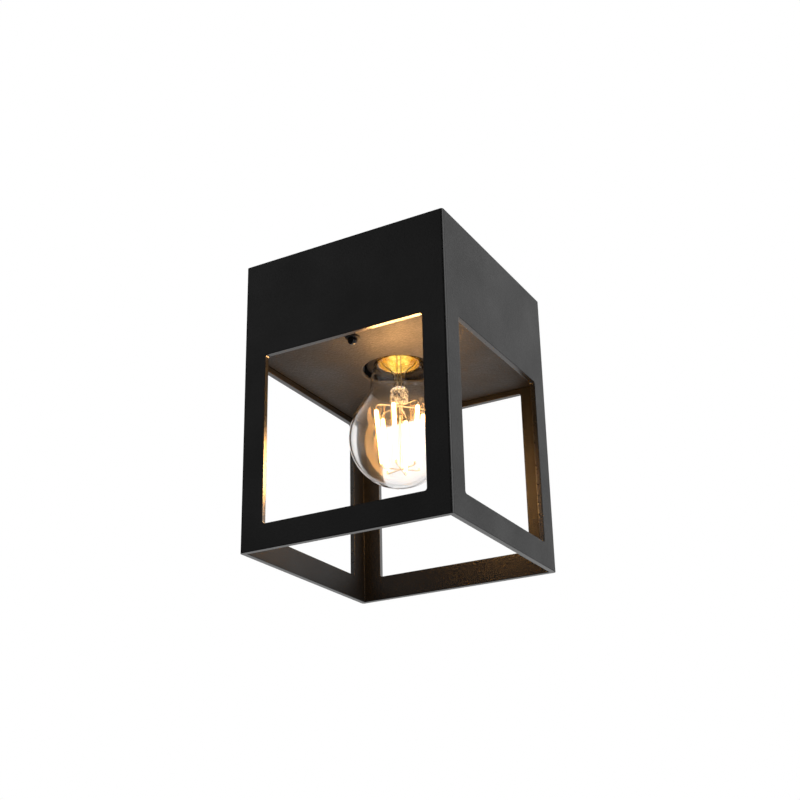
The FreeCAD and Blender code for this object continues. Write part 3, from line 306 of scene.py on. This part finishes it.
def golden_cement(name):
    """Basing cement in a golden cap: pale and mottled, and orange on two sides."""
    paint = Paint(name)
    across, along = paint.axes()[:2]
    patches = paint.noise(3.0, 3.0, 0.6)
    specks = paint.noise(0.9, 2.0)
    side_turn = radians(28.9)
    sideways = across * cos(side_turn) + along * sin(side_turn)
    side = paint.node("ShaderNodeMapRange", sockets={
        "Value": paint.maths("ABSOLUTE", sideways), "From Min": 4.5 * MM, "From Max": 8.0 * MM})
    mottle = patches * 0.65 + specks * 0.35
    pale = paint.ramp(mottle, [(0.38, (0.42, 0.34, 0.05, 1)), (0.48, (0.64, 0.62, 0.13, 1)),
                               (0.60, (0.80, 0.92, 0.36, 1))])
    orange = paint.ramp(mottle, [(0.40, (0.20, 0.07, 0.001, 1)), (0.60, (0.50, 0.36, 0.008, 1))])
    paint.surface({
        "Base Color": paint.blend(side, pale, orange),
        "Roughness": paint.spread(specks, 0.45, 0.65),
        "Normal": paint.bump(specks, 0.15),
    })
    return paint.material


def glass_shader(paint, waves_mm, depth_mm, roughness, bending):
    """Clear glass whose surface has slight or strong waves."""
    return paint.node("ShaderNodeBsdfPrincipled", sockets={
        "Base Color": (1.0, 1.0, 1.0, 1),
        "Transmission Weight": 1.0,
        "IOR": bending,
        "Roughness": roughness,
        "Normal": paint.bump(paint.noise(waves_mm, 1.0), depth_mm),
    })


def clear_glass(name, haze, waves_mm, depth_mm, roughness, bending):
    """Clear glass with a thin film of haze that spreads a little of the light."""
    paint = Paint(name)
    clear = glass_shader(paint, waves_mm, depth_mm, roughness, bending)
    film = glass_shader(paint, waves_mm, 0.0, 0.35, bending)
    share = paint.spread(paint.noise(12.0, 2.0), haze * 0.8, haze * 1.2)
    paint.close(paint.mix(share, clear, film))
    return paint.material


def glass_with_painted_glints(name, streak_mm, half_width, bending):
    """Glass worked hot: clear, with thin pale streaks that wind through it, painted highlights for the
    strips' light glinting in the glass.
    """
    paint = Paint(name)
    glint_streaks = paint.noise(streak_mm, 1.0, 0.5, swirl=1.5)
    glint_share = paint.ramp(glint_streaks, [(0.5 - half_width, grey(0.0)), (0.5 - half_width * 0.4, grey(1.0)),
                              (0.5 + half_width * 0.4, grey(1.0)), (0.5 + half_width, grey(0.0))])
    # Painted highlight: opaque pale colour where the clear glass would glint with the strips' light.
    pale = paint.node("ShaderNodeBsdfPrincipled", sockets={
        "Base Color": (0.95, 0.95, 0.80, 1),
        "Roughness": 0.3,
    })
    paint.close(paint.mix(glint_share, glass_shader(paint, streak_mm, 0.2, 0.06, bending), pale))
    return paint.material


def glowing_strip(name):
    """Phosphor strip alight: white along the middle, warmer in its cloudy skin."""
    paint = Paint(name)
    skin = paint.noise(1.2, 2.0)
    paint.surface({
        "Base Color": (0.9, 0.62, 0.22, 1),
        "Roughness": 0.5,
        "Emission Color": paint.ramp(skin, [(0.3, (1.0, 0.48, 0.15, 1)), (0.7, (1.0, 0.54, 0.19, 1))]),
        "Emission Strength": 100.0,
    })
    return paint.material


COAT = housing_coat("black_powder_coat", dark=0.002, light=0.004, roughness=0.52, spread=0.08,
                    specular=0.3, grain_mm=0.9, depth_mm=0.14, edge_mm=0.9)
PLATE_COAT = powder_coat("plate_coat", dark=0.004, light=0.014, roughness=0.58, spread=0.16,
                         specular=0.48, grain_mm=1.3, depth_mm=0.3, edge_mm=0.25)
ZINC = zinc_plate("zinc_plated_steel")
BRASS = brass("brass")
CAP_GOLD = brass("golden_cap", (0.50, 0.30, 0.07, 1), (0.85, 0.60, 0.22, 1), 0.22)
NUT_GLOSS = nut_gloss("glossy_black_nut")
PHENOLIC = moulding("black_moulding", grey(0.002), grey(0.004), 0.5, specular=0.1, edge_mm=0.4)
BLACK_RUBBER = moulding("black_rubber", grey(0.003), grey(0.007), 0.8, specular=0.2)
# The terminal block is coloured near-black as painted shade, for the shade that it lies in inside the
# cage.
SHADED_BLOCK = moulding("block_in_painted_shade", grey(0.004), grey(0.008), 0.6)
BROWN_WIRE = moulding("brown_insulation", (0.06, 0.022, 0.010, 1), (0.09, 0.035, 0.016, 1), 0.35)
BLUE_WIRE = moulding("blue_insulation", (0.012, 0.045, 0.19, 1), (0.020, 0.065, 0.26, 1), 0.35)
GREEN_WIRE = moulding("green_insulation", (0.03, 0.14, 0.02, 1), (0.42, 0.36, 0.03, 1), 0.35)
DARK_GLASS = moulding("dark_glass_insulator", (0.010, 0.010, 0.013, 1), (0.020, 0.019, 0.022, 1), 0.12)
CAP_CEMENT = golden_cement("golden_cement")
GLASS = clear_glass("clear_glass", haze=0.03, waves_mm=9.0, depth_mm=0.012, roughness=0.05,
                    bending=1.34)
# Stem and press get painted highlights: pale streaks for the strips' light glinting in their glass.
STEM_GLASS = glass_with_painted_glints("stem_glass", streak_mm=5.0, half_width=0.004, bending=1.12)
PRESS_GLASS = glass_with_painted_glints("pressed_glass", streak_mm=2.6, half_width=0.05, bending=1.4)
LEAD = brass("lead_wire", (0.46, 0.43, 0.38, 1), (0.66, 0.62, 0.55, 1), 0.3)
GLOW = glowing_strip("glowing_filament")

NODE_FINISHES = {
    "housing_shell": COAT, "lamp_plate": PLATE_COAT, "plate_studs": ZINC, "plate_nuts": ZINC,
    "ceiling_bracket": ZINC, "cable_bush": BLACK_RUBBER, "bracket_studs": ZINC, "stud_nuts": ZINC,
    "earth_screw": BRASS, "earth_washer": ZINC, "cap_nut_front": NUT_GLOSS,
    "cap_nut_rear": NUT_GLOSS, "holder_bridge": ZINC, "holder_body": PHENOLIC,
    "holder_screws": ZINC, "thread_sleeve": BRASS, "holder_seal": BLACK_RUBBER,
    "centre_contact": BRASS, "side_contact": BRASS, "holder_terminals": BRASS,
    "holder_terminal_screws": ZINC, "terminal_block": SHADED_BLOCK, "terminal_clamps": BRASS,
    "terminal_screws": ZINC, "earth_tag": BRASS, "wire_live": BROWN_WIRE,
    "wire_neutral": BLUE_WIRE, "wire_earth": GREEN_WIRE, "bulb_glass": GLASS,
    "bulb_cap": CAP_GOLD, "cap_insulator": DARK_GLASS, "cap_contact": ZINC, "bulb_stem": STEM_GLASS,
    "bulb_leads": LEAD, "bulb_filaments": GLOW, "bulb_frame": LEAD,
}
for node_name, finish in NODE_FINISHES.items():
    node_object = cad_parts[node_name]
    node_object.data.materials.clear()
    node_object.data.materials.append(finish)


# ---------------------------------------------------------------- modelling helpers

def begin(name, add, **settings):
    """Adds one primitive with nothing else selected and names it."""
    bpy.ops.object.select_all(action="DESELECT")
    add(**settings)
    piece = bpy.context.object
    piece.name = name
    piece.data.name = name
    return piece


def pick(piece):
    """Selects this piece alone."""
    bpy.ops.object.select_all(action="DESELECT")
    piece.select_set(True)
    bpy.context.view_layer.objects.active = piece


def settle(piece):
    """Puts the piece's place into its mesh, so that its object lies at the origin."""
    pick(piece)
    bpy.ops.object.transform_apply(location=True, rotation=True, scale=True)


def select_where(piece, wanted):
    """Selects, in edit mode, the corners of the mesh whose place is wanted."""
    bpy.ops.mesh.select_mode(type="VERT")
    bpy.ops.mesh.select_all(action="DESELECT")
    bpy.ops.object.mode_set(mode="OBJECT")
    for vertex in piece.data.vertices:
        vertex.select = wanted(vertex.co)
    bpy.ops.object.mode_set(mode="EDIT")


def arc(centre, radius, start, end, steps):
    """Points (radius, height) along an arc, its angles in degrees."""
    turn = [radians(start + (end - start) * step / steps) for step in range(steps + 1)]
    return [(centre[0] + radius * cos(angle), centre[1] + radius * sin(angle)) for angle in turn]


def turned(name, profile, segments=96, closed_start=False, closed_end=False):
    """A round piece: one ring extruded and resized from point to point of (radius, height)."""
    radius, height = profile[0]
    piece = begin(name, bpy.ops.mesh.primitive_circle_add, vertices=segments, radius=radius * MM,
                  location=(0, 0, height * MM), fill_type="TRIFAN" if closed_start else "NOTHING")
    bpy.ops.object.mode_set(mode="EDIT")
    select_where(piece, lambda place: place.xy.length > radius * MM / 2)
    for (wide, high), (next_wide, next_high) in zip(profile, profile[1:]):
        lift = (0, 0, (next_high - high) * MM)
        bpy.ops.mesh.extrude_edges_move(TRANSFORM_OT_translate={"value": lift})
        scale = next_wide / wide
        bpy.ops.transform.resize(value=(scale, scale, 1), center_override=(0, 0, next_high * MM))
    if closed_end:
        bpy.ops.mesh.edge_face_add()
        bpy.ops.mesh.poke()
    bpy.ops.mesh.select_all(action="SELECT")
    bpy.ops.mesh.remove_doubles(threshold=1e-6)
    bpy.ops.mesh.normals_make_consistent(inside=False)
    bpy.ops.object.mode_set(mode="OBJECT")
    settle(piece)
    return piece


def apply_modifier(piece, kind, **settings):
    """Adds a modifier of that kind and makes its result the mesh."""
    modifier = piece.modifiers.new(kind.lower(), kind)
    for name, value in settings.items():
        setattr(modifier, name, value)
    bpy.context.view_layer.objects.active = piece
    bpy.ops.object.modifier_apply(modifier=modifier.name)


def let_light_through(piece):
    """Clear glass throws no shadow, and only the camera and other glass see it."""
    piece.visible_shadow = False
    piece.visible_diffuse = False
    piece.visible_glossy = False


def smooth(piece, angle):
    """Shades the piece smooth where its faces meet at less than the angle, in degrees."""
    pick(piece)
    bpy.ops.object.shade_smooth_by_angle(angle=radians(angle))


def join(pieces, name):
    """Several finished meshes made one piece."""
    bpy.ops.object.select_all(action="DESELECT")
    for piece in pieces:
        piece.select_set(True)
    bpy.context.view_layer.objects.active = pieces[0]
    bpy.ops.object.join()
    pieces[0].name = name
    pieces[0].data.name = name
    return pieces[0]


def finish_piece(piece, finish, body, node):
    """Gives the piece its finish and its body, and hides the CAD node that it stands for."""
    piece.data.materials.clear()
    piece.data.materials.append(finish)
    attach(piece, body)
    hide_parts(node)


# ---------------------------------------------------------------- the bulb

def neck_points(steps):
    """The neck's outline from the cap's rim down to its widest place."""
    start = degrees(asin((CAP_RIM - NECK_WIDEST) / NECK_CURVE))
    return arc((NECK_RADIUS - NECK_CURVE, NECK_WIDEST), NECK_CURVE, start, 0, steps)


def globe_points():
    """The outline from the neck over the shoulder to the tip."""
    slope = radians(SHOULDER_SLOPE)
    shoulder = (GLOBE_RADIUS * cos(slope), GLOBE_CENTRE + GLOBE_RADIUS * sin(slope))
    neck_low = shoulder[1] + (shoulder[0] - NECK_RADIUS) / tan(slope)
    knee_high = neck_low + KNEE_RADIUS * tan(slope / 2)
    knee = arc((NECK_RADIUS + KNEE_RADIUS, knee_high), KNEE_RADIUS, 180, 180 + SHOULDER_SLOPE, 6)
    globe = arc((0, GLOBE_CENTRE), GLOBE_RADIUS, SHOULDER_SLOPE, -89, 40)
    return knee + globe


def make_bulb_glass():
    """The blown envelope: a short end in the cap, the neck, the shoulder and the globe."""
    insert = [(NECK_INSERT, STEM_TOP), (NECK_INSERT, CAP_RIM + 0.2)]
    piece = turned("bulb_envelope", insert + neck_points(steps=10) + globe_points(), closed_end=True)
    apply_modifier(piece, "SOLIDIFY", thickness=GLASS_THICKNESS * MM, offset=-1.0)
    smooth(piece, 60)
    finish_piece(piece, GLASS, "bulb", "bulb_glass")
    let_light_through(piece)


def make_stem():
    """Glass stem: a thin flare sealed into the neck and the tube below it."""
    flare = [(11.0, 0.0), (11.0, 1.8), (9.6, 3.6), (7.2, 5.4), (5.2, 7.4), (4.1, 10.0),
             (STEM_TUBE, 12.6)]
    profile = [(radius, STEM_TOP - below) for radius, below in flare]
    profile.append((STEM_TUBE, PRESS_END + PRESS_HEIGHT + 0.4))
    piece = turned("glass_stem", profile, 48)
    apply_modifier(piece, "SOLIDIFY", thickness=0.5 * MM, offset=-1.0)
    apply_modifier(piece, "SUBSURF", levels=1, render_levels=1)
    smooth(piece, 60)
    finish_piece(piece, STEM_GLASS, "bulb", "bulb_stem")
    let_light_through(piece)


def make_stem_press():
    """The stem's wide end, softened and pinched flat on the lead wires."""
    rounding = 0.4
    narrow = STEM_TUBE * 0.8
    high, low = PRESS_END + PRESS_HEIGHT - rounding, PRESS_END + rounding
    profile = [(narrow, PRESS_END + PRESS_HEIGHT), (STEM_TUBE, high)]
    steps = 8
    for step in range(steps + 1):
        profile.append((STEM_TUBE, high + (low - high) * step / steps))
    profile.append((narrow, PRESS_END))
    piece = turned("stem_press", profile, 48, closed_start=True, closed_end=True)
    bpy.ops.object.mode_set(mode="EDIT")
    for share, wide, deep in ((0.97, 1.2, 0.85), (0.85, 1.35, 0.7), (0.45, 0.95, 0.85)):
        level = (PRESS_END + PRESS_HEIGHT * share) * MM
        select_where(piece, lambda place: place.z < level)
        bpy.ops.transform.resize(value=(wide, deep, 1.0), center_override=(0, 0, 0))
    bpy.ops.mesh.select_all(action="SELECT")
    bpy.ops.transform.rotate(value=radians(-25), orient_axis="Z", center_override=(0, 0, 0))
    bpy.ops.object.mode_set(mode="OBJECT")
    apply_modifier(piece, "SUBSURF", levels=2, render_levels=2)
    smooth(piece, 60)
    finish_piece(piece, PRESS_GLASS, "bulb", "bulb_stem")
    let_light_through(piece)


def filament_angle(number):
    """Where a strip stands round the middle, in radians."""
    return radians(FILAMENT_TURN) + number * 2 * pi / FILAMENTS


def out(angle, distance, level):
    """A place at that distance from the middle and that level, in millimetres."""
    return Vector((distance * cos(angle), distance * sin(angle), level))


def filament_rods(name, start, end, radius, rounding):
    """Six slanted rods along the strips, from start to end millimetres below their tops."""
    top, foot = Vector(FILAMENT_TOP), Vector(FILAMENT_FOOT)
    along = (foot - top).normalized()
    middle = top + along * (start + end) / 2
    tilt = atan2(top.x - foot.x, top.y - foot.y)
    rods = []
    for number in range(FILAMENTS):
        angle = filament_angle(number)
        rod = begin(f"{name}_{number}", bpy.ops.mesh.primitive_cylinder_add, vertices=20,
                    radius=radius * MM, depth=(end - start) * MM,
                    location=out(angle, middle.x, middle.y) * MM, rotation=(0, tilt, angle))
        settle(rod)
        apply_modifier(rod, "BEVEL", width=rounding * MM, segments=4)
        rods.append(rod)
    return join(rods, name)


def make_filaments():
    """Glowing strips, and the thin metal tabs at both their ends."""
    length = hypot(FILAMENT_TOP[0] - FILAMENT_FOOT[0], FILAMENT_TOP[1] - FILAMENT_FOOT[1])
    overlap = 0.5
    strips = filament_rods("filament_strips", FILAMENT_TAB, length - FILAMENT_TAB,
                           FILAMENT_RADIUS, 0.5)
    smooth(strips, 40)
    finish_piece(strips, GLOW, "bulb", "bulb_filaments")
    for name, start, end in (("top_tabs", 0, FILAMENT_TAB + overlap),
                             ("foot_tabs", length - FILAMENT_TAB - overlap, length)):
        tabs = filament_rods(name, start, end, 0.5, 0.2)
        smooth(tabs, 40)
        finish_piece(tabs, LEAD, "bulb", "bulb_filaments")


def bent_wire(name, points, radius_mm):
    """A thin round wire along a smooth path that five points guide, made a mesh."""
    piece = begin(name, bpy.ops.curve.primitive_nurbs_path_add)
    spline = piece.data.splines[0]
    for point, place in zip(spline.points, points):
        point.co = (*(Vector(place) * MM), 1.0)
    spline.order_u = 3
    spline.use_endpoint_u = True
    piece.data.bevel_depth = radius_mm * MM
    piece.data.bevel_resolution = 3
    piece.data.use_fill_caps = True
    bpy.ops.object.convert(target="MESH")
    settle(piece)
    return piece


def make_filament_carrier():
    """Middle post with arms that bend down to the strips' tops and up to their feet."""
    hub = FILAMENT_TOP[1] + 1.5
    foot_level = FILAMENT_FOOT[1]
    post_radius, arm_radius = 0.5, 0.32
    levels = (hub + 2, -88, -98, -108, foot_level - 0.3)
    wires = [bent_wire("post", [(0, 0, level) for level in levels], post_radius)]
    for number in range(FILAMENTS):
        top_path = [(0, hub), (5, hub), (11, hub), (FILAMENT_TOP[0] - 0.5, hub - 0.4),
                    (FILAMENT_TOP[0], FILAMENT_TOP[1] - 1.0)]
        foot_path = [(0, foot_level), (3, foot_level), (7, foot_level),
                     (FILAMENT_FOOT[0] - 0.3, foot_level - 0.2), (FILAMENT_FOOT[0], foot_level + 0.8)]
        for name, path in (("top_arm", top_path), ("foot_arm", foot_path)):
            points = [out(filament_angle(number), *place) for place in path]
            wires.append(bent_wire(f"{name}_{number}", points, arm_radius))
    piece = join(wires, "filament_carrier")
    smooth(piece, 60)
    finish_piece(piece, LEAD, "bulb", "bulb_frame")


def make_screw_cap():
    """Thin drawn cap: a rolled rim, then round thread waves up to the insulator."""
    rolled_rim = [(13.2, 0.0), (13.45, 0.3), (13.45, 1.0), (13.1, 1.3), (12.5, 2.2)]
    profile = [(radius, CAP_RIM + above) for radius, above in rolled_rim]
    steps = 48
    low = CAP_RIM + 3.0
    for step in range(steps + 1):
        turn = CAP_TURNS * step / steps
        wave = 0.5 - 0.5 * cos(2 * pi * turn)
        profile.append((CAP_ROOT + (CAP_CREST - CAP_ROOT) * wave, low + turn * CAP_PITCH))
    shoulder = [(CAP_ROOT, 18.6), (CAP_ROOT - 0.2, 19.8), (CAP_ROOT - 0.6, 20.2)]
    profile += [(radius, CAP_RIM + above) for radius, above in shoulder]
    piece = turned("screw_cap", profile, 72)
    apply_modifier(piece, "SOLIDIFY", thickness=0.35 * MM, offset=-1.0)
    smooth(piece, 50)
    finish_piece(piece, CAP_GOLD, "bulb", "bulb_cap")


def make_cap_lining():
    """The golden cement that fills the cap round the neck, seen from inside the bulb."""
    hollow = [(12.5, -0.25), (12.0, -0.1), (12.02, 3.2), (11.2, 4.2), (8.5, 5.0), (2.6, 5.4)]
    profile = [(radius, CAP_RIM + above) for radius, above in hollow]
    piece = turned("cap_lining", profile, 72)
    apply_modifier(piece, "SOLIDIFY", thickness=0.25 * MM, offset=1.0)
    smooth(piece, 60)
    finish_piece(piece, CAP_CEMENT, "bulb", "bulb_cap")


def make_cap_nuts():
    """Domed nuts with a thin rolled flange, one on each hanging stud."""
    flange = [(2.1, 0.0), (3.9, 0.0), (4.12, 0.12), (4.15, 0.35), (4.05, 0.65), (3.7, 0.85),
              (3.1, 0.92), (NUT_DOME, 1.15)]
    profile = [(radius, PLATE_LOW - below) for radius, below in flange]
    profile += arc((0, NUT_END + NUT_DOME), NUT_DOME, 0, -86, 16)
    for name, side in (("front", -1), ("rear", 1)):
        piece = turned(f"cap_nut_{name}_dome", profile, 48, closed_end=True)
        bpy.ops.transform.translate(value=(0, side * STUD_PLACE * MM, 0))
        settle(piece)
        apply_modifier(piece, "SUBSURF", levels=1, render_levels=1)
        smooth(piece, 60)
        finish_piece(piece, NUT_GLOSS, f"cap_nut_{name}", f"cap_nut_{name}")


make_bulb_glass()
make_stem()
make_stem_press()
make_filaments()
make_filament_carrier()
make_screw_cap()
make_cap_lining()
make_cap_nuts()


# ---------------------------------------------------------------- camera

def put_camera():
    """Below and beside the lantern, looking up, as in the photograph."""
    azimuth, elevation, roll = radians(28.913), radians(-21.612), radians(-1.212)
    cage_width = 2 * WALL_OUTSIDE * MM
    distance = 5.782 * cage_width
    aim_drop = 0.095 * cage_width
    focal_pixels, picture_pixels = 1287.75, 800
    back = Vector((sin(azimuth) * cos(elevation), -cos(azimuth) * cos(elevation), sin(elevation)))
    right = Vector((0, 0, 1)).cross(back).normalized()
    up = back.cross(right)
    level_right = cos(roll) * right + sin(roll) * up
    level_up = cos(roll) * up - sin(roll) * right
    aim = Vector((0, 0, -CAGE_HEIGHT * MM / 2)) - level_up * aim_drop
    camera_data = bpy.data.cameras.new("camera")
    camera_data.sensor_width = 36
    camera_data.lens = focal_pixels / picture_pixels * camera_data.sensor_width
    camera_data.shift_y = 0.05
    camera_data.dof.use_dof = False
    camera = bpy.data.objects.new("camera", camera_data)
    bpy.context.scene.collection.objects.link(camera)
    turn = Matrix((level_right, level_up, back)).transposed().to_4x4()
    camera.matrix_world = Matrix.Translation(aim + back * distance) @ turn
    bpy.context.scene.camera = camera


# ---------------------------------------------------------------- floor, backdrop and light

def white_world():
    """White where it is seen or looked through, brighter in gloss and dimmer as a light."""
    world = bpy.data.worlds.new("studio")
    bpy.context.scene.world = world
    world.use_nodes = True
    tree = world.node_tree
    tree.nodes.clear()
    path = tree.nodes.new("ShaderNodeLightPath")
    shader = None
    for ray, strength in ((None, 0.82), ("Is Glossy Ray", 1.15), ("Is Transmission Ray", 1.0),
                          ("Is Camera Ray", 1.0)):
        white = tree.nodes.new("ShaderNodeBackground")
        white.inputs["Color"].default_value = (1, 1, 1, 1)
        white.inputs["Strength"].default_value = strength
        if shader:
            mix = tree.nodes.new("ShaderNodeMixShader")
            tree.links.new(path.outputs[ray], mix.inputs["Fac"])
            tree.links.new(shader.outputs[0], mix.inputs[1])
            tree.links.new(white.outputs[0], mix.inputs[2])
            shader = mix
        else:
            shader = white
    output = tree.nodes.new("ShaderNodeOutputWorld")
    tree.links.new(shader.outputs[0], output.inputs["Surface"])


def make_floor():
    """A wide pale floor, far enough below for a soft shadow."""
    paint = Paint("pale_floor")
    paint.surface({
        "Base Color": paint.ramp(paint.noise(60.0, 2.0), [(0.3, grey(0.88)), (0.7, grey(0.90))]),
        "Roughness": 0.9,
    })
    floor = begin("floor", bpy.ops.mesh.primitive_plane_add, size=80, location=(0, 0, -1.1))
    floor.data.materials.append(paint.material)


def make_dark_tent():
    """The dark side of the studio: half a round tent behind the camera that only gloss sees."""
    paint = Paint("black_cloth")
    paint.surface({"Base Color": grey(0.0), "Roughness": 1.0, "Specular IOR Level": 0.0})
    tent = begin("dark_tent", bpy.ops.mesh.primitive_uv_sphere_add, segments=64, ring_count=32,
                 radius=1.0)
    bpy.ops.object.mode_set(mode="EDIT")
    bpy.ops.mesh.select_all(action="SELECT")
    bpy.ops.mesh.bisect(plane_co=(0, 0, 0), plane_no=(-0.6, -0.8, 0.1), clear_inner=True)
    bpy.ops.object.mode_set(mode="OBJECT")
    tent.data.materials.append(paint.material)
    tent.visible_camera = False
    tent.visible_diffuse = False
    tent.visible_shadow = False
    tent.visible_transmission = False


def area_light(name, place, size, power):
    """A square soft light that faces the middle of the cage."""
    data = bpy.data.lights.new(name, "AREA")
    data.shape = "SQUARE"
    data.size = size
    data.energy = power
    light = bpy.data.objects.new(name, data)
    light.location = place
    aim = Vector((0, 0, -0.09)) - Vector(place)
    light.rotation_euler = aim.to_track_quat("-Z", "Y").to_euler()
    bpy.context.scene.collection.objects.link(light)


put_camera()
white_world()
make_floor()
make_dark_tent()
area_light("soft_right", (1.5, 1.2, 0.5), size=1.6, power=2)
area_light("soft_front", (-1.2, -1.6, 0.9), size=1.2, power=6)

bpy.context.scene.view_settings.view_transform = "Standard"
